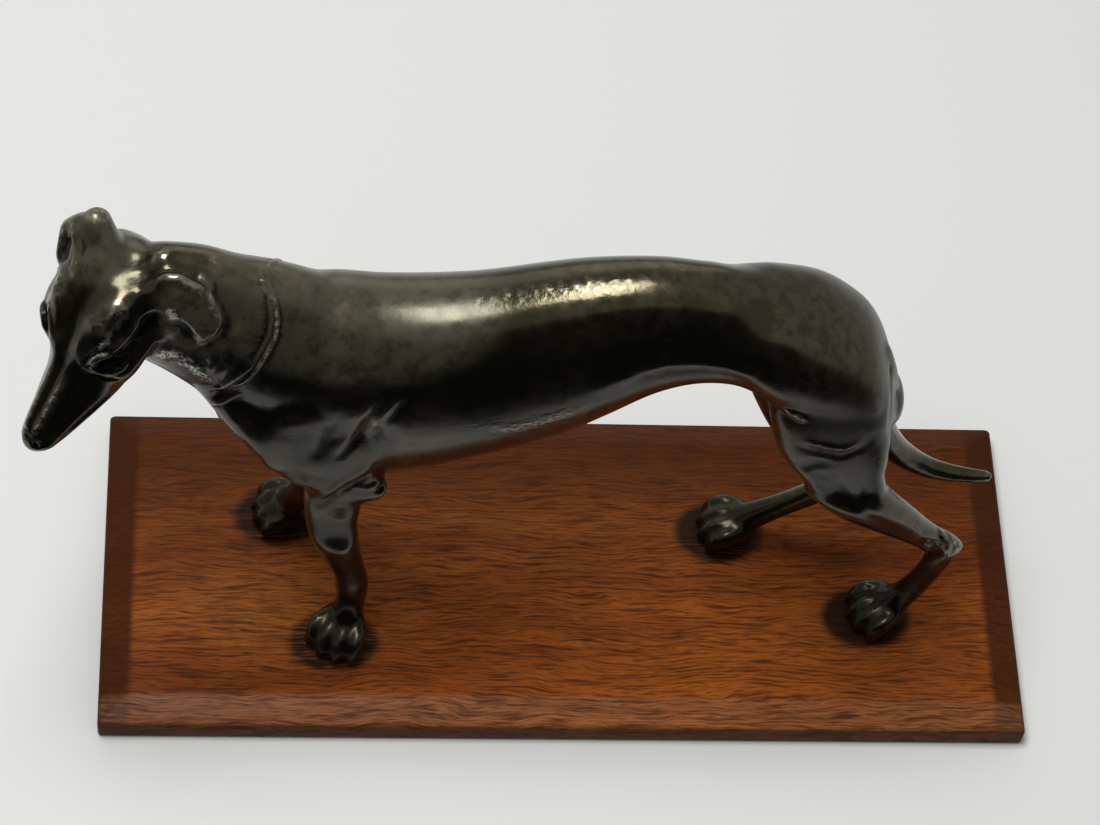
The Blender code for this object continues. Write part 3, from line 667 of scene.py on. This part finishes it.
def fine_strokes():
    """Eyes, nose, collar, wrinkles of the throat and the spine's small bumps."""
    strokes = []
    for side in (NEAR, FAR):
        strokes += aimed(on_brow(side), [
            ([(24.8, 11.9)], 3, 1.2),
            ([(27.6, 8.2), (25.2, 9.4), (22.2, 11.2), (20, 13.2), (18.6, 14.8)], 1.3, 0.8),
            ([(27.8, 8.6), (28, 10.6), (26.6, 13.2), (23.8, 15), (20.4, 15.6)], 1.3, 0.7),
            ([(27.4, 7.2), (24.4, 8.4), (21.2, 10.2), (18.6, 12.6)], 1.2, -0.6),
            ([(29.6, 8.8), (29.8, 11.5), (28.2, 14.4)], 1.4, -0.5),
            ([(24.8, 11.9)], 1.1, -0.5),
            ([(58.2, 2.6), (59.2, 3.2)], 1.3, -0.9),
            ([(55.6, 0.4), (56, 2.6), (57, 4.4)], 1.2, -0.35),
        ])
    strokes += aimed(beside(NEAR), [
        ([(-102.2, 172), *COLLAR], 1.2, 0.55),
        ([(-103.7, 172.6), (-100.3, 172), (-98, 168.8), (-97.2, 163.6), (-97.9, 159),
          (-100.2, 153.5), (-103, 147.2), (-107, 141)], 1.1, 0.4),
    ])
    strokes.append((beside(FAR), COLLAR, 1.2, 0.55))
    strokes += aimed(beside(NEAR), [
        ([(-115.8, 131), (-111, 135.6), (-107, 142.6), (-103.2, 149)], 1.7, 0.7),
        ([(-114.8, 127), (-111, 131), (-106.5, 137)], 1.6, -0.6),
        ([(-114.8, 123.3), (-111, 128), (-106, 133)], 1.6, 0.6),
        ([(-116, 153), (-114, 148), (-115, 142)], 1.6, 0.4),
        ([(-111, 155), (-110, 148), (-112, 141)], 1.6, 0.4),
        ([(-121, 152), (-119, 148), (-119.5, 143)], 1.6, 0.35),
    ])
    for bump in range(SPINE_BUMPS):
        spot = SPINE_START + bump * SPINE_GAP, -4.6 - 0.4 * (bump % 2)
        strokes.append((above, [spot], 2.2, 0.10 + 0.05 * (bump % 3)))
    return strokes


def worn_strokes():
    """Where hands and cloths have rubbed the bronze bright; the depth is how bare it is."""
    strokes = []
    for side in (NEAR, FAR):
        strokes += aimed(on_brow(side), [
            ([(24, 9), (20.5, 10.5), (17, 11.4), (12, 11.8)], 1.9, 1),
            ([(17, 11), (12, 11.5), (6, 12)], 5, 0.45),
            ([(56, 3.4), (59, 3)], 1.5, 0.5),
        ])
    strokes.append((on_crown, [(36, 2.5), (47.7, 2.3), (58.5, 1.6)], 1.6, 0.6))
    strokes += aimed(beside(NEAR), [
        ([(-126.4, 171.8), (-125, 169.6), (-124, 166.9)], 2.6, 1),
        ([(-125.9, 180.6), (-118.5, 178), (-113, 169), (-112, 163)], 1.2, 0.35),
        ([(-102, 172), (-96.4, 168), (-95.5, 163), (-98.5, 153), (-105, 140)], 1.1, 0.4),
        ([(-95.6, 163), (-96.6, 157.5)], 1.6, 0.8),
        ([(-129, 147), (-126.5, 151.5), (-122, 148)], 3.6, 1),
        ([(-124, 146), (-119.5, 145), (-115, 137)], 2.8, 1),
        ([(-63, 140), (-66, 134), (-69, 126)], 1.3, 0.4),
        ([(54.3, 132.4), (57, 132), (60.6, 130.4)], 1.5, 1),
        ([(63, 119), (69, 116.8), (75, 115.4)], 1.6, 0.4),
        ([(109, 57), (114, 52), (116, 45)], 1.4, 0.5),
        ([(119, 52), (122.5, 47), (121, 42)], 1.4, 0.5),
        ([(-36, 124), (-25, 121), (-12, 127), (-2, 131)], 5, 0.4),
    ])
    strokes.append((above, [(-40, -6), (10, -7)], 6, 0.22))
    return strokes


def trace(points, gap):
    """Fill a stroke's points in, a small gap apart."""
    rows = [np.array(p, float) for p in points]
    path = [rows[0]]
    for low, high in zip(rows, rows[1:]):
        parts = max(1, math.ceil(np.linalg.norm(high - low) / gap))
        path += [low + (high - low) * k / parts for k in range(1, parts + 1)]
    return path


def ease(count):
    """Strength along a stroke, which fades in and out at its ends."""
    if count < 4:
        return [1.0] * count
    return [min(1.0, 0.25 + 3.0 * min(k, count - 1 - k) / count) for k in range(count)]


def cover(item, strokes):
    """For each stroke, the points that it covers, how fully, and its depth."""
    places = read_points(item.data)
    normals = read_normals(item.data)
    tree = BVHTree.FromObject(item, bpy.context.evaluated_depsgraph_get())
    for aim, points, reach, depth in strokes:
        hits = []
        path = trace(points, min(1.0, reach / 5))
        for p, strength in zip(path, ease(len(path))):
            spot, normal, _, _ = tree.ray_cast(*aim(*p))
            if spot:
                hits.append((np.array(spot), np.array(normal), strength))
        if not hits:
            continue
        spots = np.array([h[0] for h in hits])
        near = np.all((places > spots.min(0) - reach) & (places < spots.max(0) + reach), axis=1)
        index = np.flatnonzero(near)
        weight = np.zeros(len(index))
        for spot, normal, strength in hits:
            gap = ((places[index] - spot) ** 2).sum(1) / reach ** 2
            facing = normals[index] @ normal > 0.1
            weight = np.maximum(weight, np.where((gap < 1) & facing,
                                                 strength * (1 - gap) ** 2, 0))
        yield index, weight, depth


def carve(item, strokes):
    """Push the surface in or out along the strokes."""
    places = read_points(item.data)
    shift = np.zeros(len(places))
    for index, weight, depth in cover(item, strokes):
        shift[index] += weight * depth
    write_points(item.data, places + read_normals(item.data) * shift[:, None])


def store(mesh, name, values):
    """Keep one value for each point on the mesh."""
    mesh.attributes.new(name, "FLOAT", "POINT").data.foreach_set(
        "value", values.astype(np.float32))


def paint(item, name, strokes):
    """Store on the mesh how worn it is along the strokes."""
    worn = np.zeros(len(item.data.vertices))
    for index, weight, share in cover(item, strokes):
        worn[index] = np.maximum(worn[index], weight * share)
    store(item.data, name, worn)


def press(places, side, span, heights, reach):
    """Press one flank flat between two heights, at a given reach from the midline.

    The span along X and the heights are each four values: where the pressing
    starts, is full, is still full, and ends.
    """
    weight = np.ones(len(places))
    for k, (start, full, still, end) in ((0, span), (2, heights)):
        rise = np.clip((places[:, k] - start) / (full - start), 0, 1)
        fall = np.clip((end - places[:, k]) / (end - still), 0, 1)
        weight *= np.minimum(rise, fall)
    weight = weight ** 2 * (3 - 2 * weight)
    level = np.interp(places[:, 2], heights[::3], reach)
    over = side * (places[:, 1] - MIDLINE) - level
    places[:, 1] -= side * weight * FLAT_EASE * np.logaddexp(0, over / FLAT_EASE)


def edges_of(mesh):
    """The two ends of every edge, as arrays."""
    ends = np.empty(len(mesh.edges) * 2, int)
    mesh.edges.foreach_get("vertices", ends)
    return ends[::2], ends[1::2]


def relax(places, ends, passes):
    """Draw points half way to the middle of their neighbours, again and again."""
    low, high = ends
    count = len(places)
    links = np.bincount(low, minlength=count) + np.bincount(high, minlength=count)
    for _ in range(passes):
        total = np.stack([np.bincount(low, places[high, k], count)
                          + np.bincount(high, places[low, k], count) for k in range(3)], 1)
        places = places + (total / links[:, None] - places) / 2
    return places


def soften(places, ends, balls):
    """Smooth the surface within some balls, most at their centres."""
    low, high = ends
    for centre, reach, passes in balls:
        gap = np.sqrt(((places - np.array(centre)) ** 2).sum(1)) / reach
        touched = (gap[low] < 1) | (gap[high] < 1)
        index, pairs = np.unique(np.concatenate([low[touched], high[touched]]),
                                 return_inverse=True)
        pairs = np.split(pairs.ravel(), 2)
        share = np.clip(1.6 * (1 - gap[index]), 0, 1)[:, None]
        for _ in range(passes):
            places[index] += (relax(places[index], pairs, 1) - places[index]) * share
    return places


def note_wear(item):
    """Store how far each point stands out from its surroundings, or lies in them."""
    mesh = item.data
    places = read_points(mesh)
    normals = read_normals(mesh)
    ends = edges_of(mesh)
    for name, passes, full in RELIEFS:
        out = ((places - relax(places, ends, passes)) * normals).sum(1)
        store(mesh, name, np.clip(out / full, -1, 1))


class Finish:
    """One material, whose nodes are added and linked by plain calls."""

    def __init__(self, name):
        self.material = bpy.data.materials.new(name)
        self.material.use_nodes = True
        self.tree = self.material.node_tree
        self.shader = self.tree.nodes["Principled BSDF"]
        self.place = self.add("ShaderNodeTexCoord").outputs["Object"]

    def add(self, kind, inputs=None, **settings):
        """Add a node, set it, and link or set its inputs."""
        node = self.tree.nodes.new(kind)
        for name, value in settings.items():
            setattr(node, name, value)
        self.feed(node, inputs or {})
        return node

    def feed(self, node, inputs):
        """Link sockets and set plain values on a node's inputs."""
        for name, value in inputs.items():
            if isinstance(value, bpy.types.NodeSocket):
                self.tree.links.new(value, node.inputs[name])
            else:
                node.inputs[name].default_value = value

    def stretch(self, scale, move=(0, 0, 0), place=None):
        """Coordinates, scaled and moved."""
        return self.add("ShaderNodeMapping", {"Vector": place or self.place, "Scale": scale,
                                              "Location": move}).outputs["Vector"]

    def axes(self, vector):
        """A vector's three numbers."""
        return self.add("ShaderNodeSeparateXYZ", {0: vector}).outputs

    def near(self, centre, sizes, edge=0.5):
        """A soft spot: one at its centre, nothing outside an ellipsoid."""
        place = self.stretch([1 / size for size in sizes],
                             [-at / size for at, size in zip(centre, sizes)])
        far = self.add("ShaderNodeVectorMath", {0: place}, operation="LENGTH").outputs["Value"]
        return self.span(far, 1.0, edge)

    def noise(self, vector, scale, detail, roughness):
        """Cloudy noise from 0 to 1."""
        return self.add("ShaderNodeTexNoise", {
            "Vector": vector, "Scale": scale, "Detail": detail,
            "Roughness": roughness}).outputs["Fac"]

    def span(self, value, low, high, to_low=0.0, to_high=1.0):
        """Bring a value from one span to another, eased and held at the ends."""
        return self.add("ShaderNodeMapRange", {
            "Value": value, "From Min": low, "From Max": high,
            "To Min": to_low, "To Max": to_high},
            interpolation_type="SMOOTHSTEP").outputs["Result"]

    def reckon(self, operation, first, *others):
        """Put values together, one after another, by an operation."""
        for other in others or (0.0,):
            first = self.add("ShaderNodeMath", {0: first, 1: other},
                             operation=operation).outputs[0]
        return first

    def coats(self, colour, *coats):
        """Lay colours over a first one, each by its own share."""
        for share, tone in coats:
            colour = self.add("ShaderNodeMix", {0: share, 6: colour, 7: tone},
                              data_type="RGBA").outputs[2]
        return colour

    def bump(self, height, strength, distance, under=None):
        """Turn a height into a bump, over another bump if one is given."""
        inputs = {"Height": height, "Strength": strength, "Distance": distance}
        if under is not None:
            inputs["Normal"] = under
        return self.add("ShaderNodeBump", inputs).outputs["Normal"]

    def mark(self, name):
        """A value stored on the mesh."""
        return self.add("ShaderNodeAttribute", attribute_name=name).outputs["Fac"]


def bronze(settings):
    """Brown-black bronze with an olive bloom, rubbed on its high points. Upward faces are lighter
    olive, partly patina and partly painted top light, and painted shade darkens the paws.
    """
    work = Finish("bronze")
    fine, broad, worn = (work.mark(name) for name in ("fine relief", "broad relief", "worn"))
    clouds = work.noise(work.place, 30, 3, 0.55)
    mottle = work.noise(work.place, 210, 5, 0.65)
    grain = work.noise(work.place, 1300, 3, 0.6)
    pits = work.noise(work.place, 520, 2, 0.5)
    level = work.axes(work.place)["Z"]
    lift = work.axes(work.add("ShaderNodeNewGeometry").outputs["Normal"])["Z"]
    # Olive on upward-facing surfaces: partly patina, partly painted top light.
    olive = work.reckon("MULTIPLY", work.span(lift, 0.1, 0.8),
                        work.span(clouds, 0.3, 0.6, 0.5, 1.0))
    patches = work.reckon("MAXIMUM", work.near(*BACK_BLOOM, 0.7), work.near(*NECK_BLOOM),
                          work.near(*EAR_BLOOM))
    bloom = work.reckon("MULTIPLY", patches, work.span(mottle, 0.2, 0.65, 0.45, 1.0))
    rubbed = work.reckon("MULTIPLY", work.span(work.reckon("ADD", fine, broad), 0.3, 1.1),
                         work.span(mottle, 0.35, 0.6))
    bare = work.reckon("MULTIPLY", work.span(worn, 0.05, 0.8), work.span(
        work.reckon("ADD", pits, work.reckon("MULTIPLY", worn, 0.12)), 0.50, 0.62))
    edges = work.reckon("MULTIPLY", work.span(fine, 0.8, 1.0),
                        work.span(pits, 0.35, 0.6, 0.1, 0.6))
    hollow = work.span(fine, -0.12, -0.8)
    # Painted shade: the paws and the legs' lowest parts turn darker and duller towards the board.
    painted_low_shade = work.span(level, 0.042, 0.022, 0.0, 0.72)
    colour = work.coats(
        settings.bronze_dark, (olive, settings.olive_top_light), (bloom, BLOOM_TONE),
        (rubbed, settings.bronze_rubbed), (bare, BARE_TONE), (edges, EDGE_TONE),
        (hollow, HOLLOW_TONE), (painted_low_shade, LOW_SHADE_TONE))
    gloss = work.reckon("ADD", work.span(mottle, 0.3, 0.7, 0.17, 0.25), *(
        work.reckon("MULTIPLY", share, duller) for share, duller in (
            (bloom, 0.10), (hollow, 0.25), (work.near(*DULL_RUMP, 0.3), 0.16), (painted_low_shade, 0.12))))
    normal = work.bump(mottle, 0.08, 0.0006)
    normal = work.bump(grain, 0.06, 0.0002, normal)
    normal = work.bump(work.reckon("MULTIPLY", worn, pits), 0.7, 0.0012, normal)
    work.feed(work.shader, {
        "Base Color": colour, "Metallic": work.span(bloom, 0.0, 1.0, 0.92, 0.5),
        "Roughness": gloss, "Normal": normal, "Coat Weight": 0.1, "Coat Roughness": 0.15})
    return work.material


def mahogany(settings):
    """Red-brown mahogany with wavy dark streaks along X and darker rings round the paws, with a
    patch of painted light by the fore paws and painted shade behind the dog and towards the tail.
    """
    work = Finish("mahogany")
    sway = work.noise(work.stretch((26, 75, 75)), 1.0, 2, 0.5)
    push = work.add("ShaderNodeCombineXYZ", {
        "Y": work.span(sway, 0.2, 0.8, -0.0020, 0.0020)}).outputs[0]
    wavy = work.add("ShaderNodeVectorMath", {0: work.place, 1: push},
                    operation="ADD").outputs["Vector"]
    bands = work.noise(work.stretch((5, 42, 42), place=wavy), 1.0, 3, 0.6)
    streaks = work.noise(work.stretch((70, 1150, 380), place=wavy), 1.0, 3, 0.6)
    hairs = work.noise(work.stretch((190, 2900, 900), place=wavy), 1.0, 2, 0.5)
    clouds = work.noise(work.place, 22, 3, 0.55)
    along, across, up = work.axes(work.place)
    # Painted light: a lighter, cloudy patch on the board by the fore paws.
    painted_light_patch = work.reckon("MULTIPLY", work.near(*BOARD_PAINTED_LIGHT, 0.2),
                       work.span(clouds, 0.3, 0.6, 0.5, 1.0))
    paw_rings = work.reckon("MAXIMUM", *(
        work.near((*mark, PAW_MARK_HEIGHT), PAW_MARK_SIZES, 0.74) for mark in PAW_MARKS))
    paw_rings = work.reckon("MULTIPLY", paw_rings, work.span(work.reckon("ADD", bands, streaks),
                                                   0.7, 1.05, 0.35, 1.0))
    end = settings.board_length / 2 - settings.chamfer_run
    front = settings.chamfer_run - settings.board_width / 2
    lip = settings.board_thickness - settings.chamfer_drop
    colour = work.coats(
        settings.mahogany_dark,
        (work.span(bands, 0.3, 0.7), settings.mahogany_pale),
        (painted_light_patch, PAINTED_LIGHT_TONE),
        # Painted shade: the board darkens towards its far side, behind and under the dog.
        (work.span(across, -0.012, 0.042, 0.0, 0.85), FAR_SHADE_TONE),
        # Painted shade: the board darkens towards the tail end.
        (work.span(along, 0.03, 0.12, 0.0, 0.35), TAIL_SHADE_TONE),
        (work.span(work.reckon("ABSOLUTE", along), end - 0.0015, end + 0.0015, 0.0, 0.85),
         END_CHAMFER_TONE),
        (work.span(across, front + 0.001, front - 0.001, 0.0, 0.35), NEAR_CHAMFER_TONE),
        (work.span(up, lip + 0.0005, lip - 0.0005, 0.0, 0.8), RIM_TONE),
        (work.span(streaks, 0.42, 0.70, 0.0, 0.8), STREAK_TONE),
        (work.span(hairs, 0.45, 0.70, 0.0, 0.6), STREAK_TONE),
        (work.reckon("MULTIPLY", paw_rings, 0.92), PAW_RING_TONE))
    gloss = work.reckon("ADD", work.span(streaks, 0.3, 0.7, 0.28, 0.40),
                        work.reckon("MULTIPLY", paw_rings, 0.2))
    work.feed(work.shader, {
        "Base Color": colour, "Roughness": gloss,
        "Normal": work.bump(streaks, 0.12, 0.0001), "Specular IOR Level": 0.05})
    return work.material


def plain(name, tone, roughness, specular):
    """One even colour."""
    work = Finish(name)
    work.feed(work.shader, {"Base Color": tone, "Roughness": roughness,
                            "Specular IOR Level": specular})
    return work.material


def place_finished(item, name, material, node):
    """Name a finished piece, dress it, hang it on the root body and hide the part that it stands
    for.
    """
    item.name = item.data.name = name
    item.data.materials.append(material)
    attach(item, "root")
    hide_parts(node)


def edit_faces(item, chosen):
    """Open a piece for editing with only the chosen faces selected."""
    bpy.ops.object.select_all(action="DESELECT")
    bpy.context.view_layer.objects.active = item
    item.select_set(True)
    bpy.ops.object.mode_set(mode="EDIT")
    bpy.ops.mesh.select_mode(type="FACE")
    bpy.ops.mesh.select_all(action="DESELECT")
    bpy.ops.object.mode_set(mode="OBJECT")
    for face in item.data.polygons:
        face.select = chosen(face)
    bpy.ops.object.mode_set(mode="EDIT")


def refine(item, balls):
    """Divide the faces within some balls, where the finest carving comes."""
    def chosen(face):
        return any((face.center - centre).length < reach for centre, reach in balls)
    edit_faces(item, chosen)
    bpy.ops.mesh.subdivide(number_cuts=1)
    bpy.ops.object.mode_set(mode="OBJECT")


class STATUE_OT_greyhound(bpy.types.Operator):
    """Model the dog from its forms, carve it and give it its bronze"""

    bl_idname = "statue.greyhound"
    bl_label = "Greyhound"

    def execute(self, context):
        settings = context.scene.statue
        finer = (STANDARD_FINENESS / settings.fineness) ** 2
        bpy.ops.object.select_all(action="DESELECT")
        before = set(bpy.data.objects)
        for form in (torso, neck, skull, ears, legs, tail):
            form()
        forms = [item for item in bpy.data.objects if item not in before]
        for item in forms:
            item.select_set(True)
        context.view_layer.objects.active = forms[0]
        bpy.ops.object.join()
        item = context.object
        bpy.ops.object.transform_apply()
        bpy.ops.object.mode_set(mode="EDIT")
        bpy.ops.mesh.select_all(action="SELECT")
        bpy.ops.mesh.normals_make_consistent(inside=False)
        bpy.ops.object.mode_set(mode="OBJECT")
        put(item, "REMESH", mode="VOXEL", voxel_size=settings.fineness)
        ends = edges_of(item.data)
        places = relax(read_points(item.data), ends, round(BLEND_PASSES * finer))
        for flat in FLATS:
            press(places, *flat)
        places = soften(places, ends, [
            (centre, reach, round(passes * finer)) for centre, reach, passes in SOFT_SPOTS])
        write_points(item.data, relax(places, ends, round(SETTLE_PASSES * finer)))
        carve(item, flank_strokes() + head_strokes())
        write_points(item.data, relax(read_points(item.data), ends, CARVED_PASSES))
        refine(item, FINE_SPOTS)
        carve(item, fine_strokes())
        places = read_points(item.data)
        places[:, 2] = np.maximum(places[:, 2], 0)
        write_points(item.data, places)
        share = settings.facets / (2 * len(item.data.polygons))
        put(item, "DECIMATE", ratio=min(1.0, share))
        note_wear(item)
        paint(item, "worn", worn_strokes())
        unit = settings.withers / WITHERS_MASTER
        item.data.transform(Matrix.Translation((0, 0, settings.board_thickness))
                            @ Matrix.Scale(unit, 4))
        bpy.ops.object.shade_smooth()
        place_finished(item, "bronze_greyhound", bronze(settings), "greyhound")
        return {"FINISHED"}


class STATUE_OT_board(bpy.types.Operator):
    """Plane the mahogany board, with its chamfer and worn arrises"""

    bl_idname = "statue.board"
    bl_label = "Mahogany board"

    def execute(self, context):
        settings = context.scene.statue
        size = (settings.board_length, settings.board_width, settings.board_thickness)
        bpy.ops.mesh.primitive_cube_add(size=1, location=(0, 0, size[2] / 2), scale=size)
        item = context.object
        bpy.ops.object.transform_apply()
        edit_faces(item, lambda face: face.normal.z > 0.9)
        bpy.ops.mesh.extrude_region_move()
        top = settings.chamfer_run * 2
        bpy.ops.transform.resize(value=(1 - top / size[0], 1 - top / size[1], 1))
        bpy.ops.object.mode_set(mode="OBJECT")
        lip = size[2] - settings.chamfer_drop
        for point in item.data.vertices:
            rim = abs(point.co.x) > size[0] / 2 - settings.chamfer_run / 2
            if rim and point.co.z > lip:
                point.co.z = lip
        put(item, "BEVEL", width=ARRIS_WIDTH, segments=5, limit_method="ANGLE",
            angle_limit=ARRIS_ANGLE)
        bpy.ops.object.shade_smooth_by_angle(angle=SMOOTH_ANGLE)
        place_finished(item, "mahogany_board", mahogany(settings), "plinth")
        return {"FINISHED"}


class STATUE_OT_stage(bpy.types.Operator):
    """Lay the pale floor, hang the lights and set the camera"""

    bl_idname = "statue.stage"
    bl_label = "Stage"

    def execute(self, context):
        scene = context.scene
        bpy.ops.mesh.primitive_plane_add(size=FLOOR_SIZE)
        floor = context.object
        floor.name = "floor"
        floor.data.materials.append(plain("studio paper", scene.statue.floor_colour, 0.55, 0.2))
        for light in LIGHTS:
            hang_panel(*light)
        stand_card()
        world = bpy.data.worlds.new("studio air")
        scene.world = world
        world.use_nodes = True
        air = world.node_tree.nodes["Background"]
        air.inputs["Color"].default_value = AIR_COLOUR
        air.inputs["Strength"].default_value = AIR_STRENGTH
        camera = bpy.data.cameras.new("camera")
        camera.sensor_width = 36
        camera.lens = VIEW_LENS
        place = bpy.data.objects.new("camera", camera)
        scene.collection.objects.link(place)
        level = math.cos(VIEW_ELEVATION)
        back = Vector((math.sin(VIEW_AZIMUTH) * level, -math.cos(VIEW_AZIMUTH) * level,
                       math.sin(VIEW_ELEVATION)))
        right = Vector((math.cos(VIEW_AZIMUTH), math.sin(VIEW_AZIMUTH), 0))
        axes = Matrix((right, back.cross(right), back)).transposed().to_4x4()
        place.matrix_world = (Matrix.Translation(VIEW_AIM + back * VIEW_DISTANCE) @ axes
                              @ Matrix.Rotation(VIEW_ROLL, 4, "Z"))
        scene.camera = place
        scene.view_settings.view_transform = "Standard"
        return {"FINISHED"}


def hang_panel(name, place, size, power, colour):
    """An area light that faces the statue."""
    light = bpy.data.lights.new(name, "AREA")
    light.shape = "RECTANGLE"
    light.size, light.size_y = size
    light.energy = power
    light.color = colour
    item = bpy.data.objects.new(name, light)
    bpy.context.scene.collection.objects.link(item)
    item.location = place
    aim = Vector(place) - LIGHTS_AIM
    item.rotation_euler = aim.to_track_quat("Z", "Y").to_euler()


def stand_card():
    """A dark card before the statue, which shows only as a reflection in the bronze."""
    bpy.ops.mesh.primitive_plane_add(size=1)
    card = bpy.context.object
    card.name = "dark card"
    corners = [edge + half for edge in (CARD_FOOT, CARD_HEAD) for half in (-CARD_HALF, CARD_HALF)]
    for point, corner in zip(card.data.vertices, corners):
        point.co = corner
    card.data.materials.append(plain("dark card", CARD_TONE, 1.0, 0.0))
    card.visible_camera = False
    card.visible_diffuse = False
    card.visible_shadow = False
    card.visible_transmission = False


class STATUE_PT_panel(bpy.types.Panel):
    """The statue's sizes, colours and pieces"""

    bl_label = "Statue"
    bl_idname = "STATUE_PT_panel"
    bl_space_type = "VIEW_3D"
    bl_region_type = "UI"
    bl_category = "Statue"

    def draw(self, context):
        for name in StatueSettings.__annotations__:
            self.layout.prop(context.scene.statue, name)
        for piece in (STATUE_OT_greyhound, STATUE_OT_board, STATUE_OT_stage):
            self.layout.operator(piece.bl_idname)


CLASSES = (StatueSettings, STATUE_OT_greyhound, STATUE_OT_board, STATUE_OT_stage,
           STATUE_PT_panel)


def register():
    """Make the settings, the pieces and the panel known."""
    for item in CLASSES:
        bpy.utils.register_class(item)
    bpy.types.Scene.statue = bpy.props.PointerProperty(type=StatueSettings)


def unregister():
    """Take the settings, the pieces and the panel away again."""
    del bpy.types.Scene.statue
    for item in reversed(CLASSES):
        bpy.utils.unregister_class(item)


def main():
    """Build the statue and its stage."""
    register()
    bpy.ops.statue.board()
    bpy.ops.statue.greyhound()
    bpy.ops.statue.stage()


if __name__ == "__main__":
    main()
